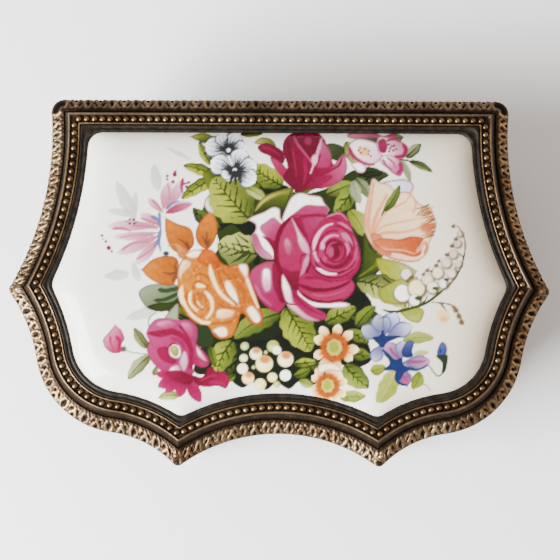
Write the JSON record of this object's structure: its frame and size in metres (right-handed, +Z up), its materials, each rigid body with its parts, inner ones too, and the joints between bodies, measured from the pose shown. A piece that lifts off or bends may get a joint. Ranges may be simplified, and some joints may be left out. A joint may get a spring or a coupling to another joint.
{
  "type": "trinket box",
  "caption": "Small scalloped metal trinket box with a hinged lid that carries a domed porcelain plaque painted with a bouquet.",
  "frame": {"origin": "on the surface the box stands on, under the middle of its footprint", "axes": "+Z up, +Y towards the hinge at the straight back edge, +X to the right seen from the front"},
  "size_m": [0.11, 0.0754, 0.0411],
  "materials": {
    "antique_brass": "antique patina, polished on high spots",
    "dark_bezel": "blackened, glossy",
    "plain_brass": "satin",
    "porcelain": "high gloss with painted bouquet",
    "velvet": "short pile",
    "card": "matte",
    "steel": "satin"
  },
  "bodies": {
    "box": {"body_shell": "antique_brass", "body_rim": "antique_brass", "base_moulding": "antique_brass", "base_plate": "plain_brass", "foot_back_left": "antique_brass", "foot_back_right": "antique_brass", "foot_front_left": "antique_brass", "foot_front_right": "antique_brass", "foot_screws": "steel", "wall_lining": "velvet", "floor_pad": "velvet", "hinge_body_leaf": "plain_brass", "hinge_pin": "steel", "body_hinge_rivets": "plain_brass"},
    "lid": {"lid_frame": "antique_brass", "leaf_moulding": "antique_brass", "bead_moulding": "antique_brass", "cusp_bosses": "antique_brass", "plaque_bezel": "dark_bezel", "porcelain_plaque": "porcelain", "plaque_backing": "card", "lid_back_plate": "plain_brass", "lid_plate_screws": "steel", "lid_lining": "velvet", "hinge_lid_leaf": "plain_brass", "lid_hinge_rivets": "plain_brass"}
  },
  "joints": [
    {"name": "lid_hinge", "type": "hinge", "parent": "box", "child": "lid", "pos_m": [0, 0.0346, 0.0325], "axis": [-1, 0, 0], "range_deg": [0, 108]}
  ]
}
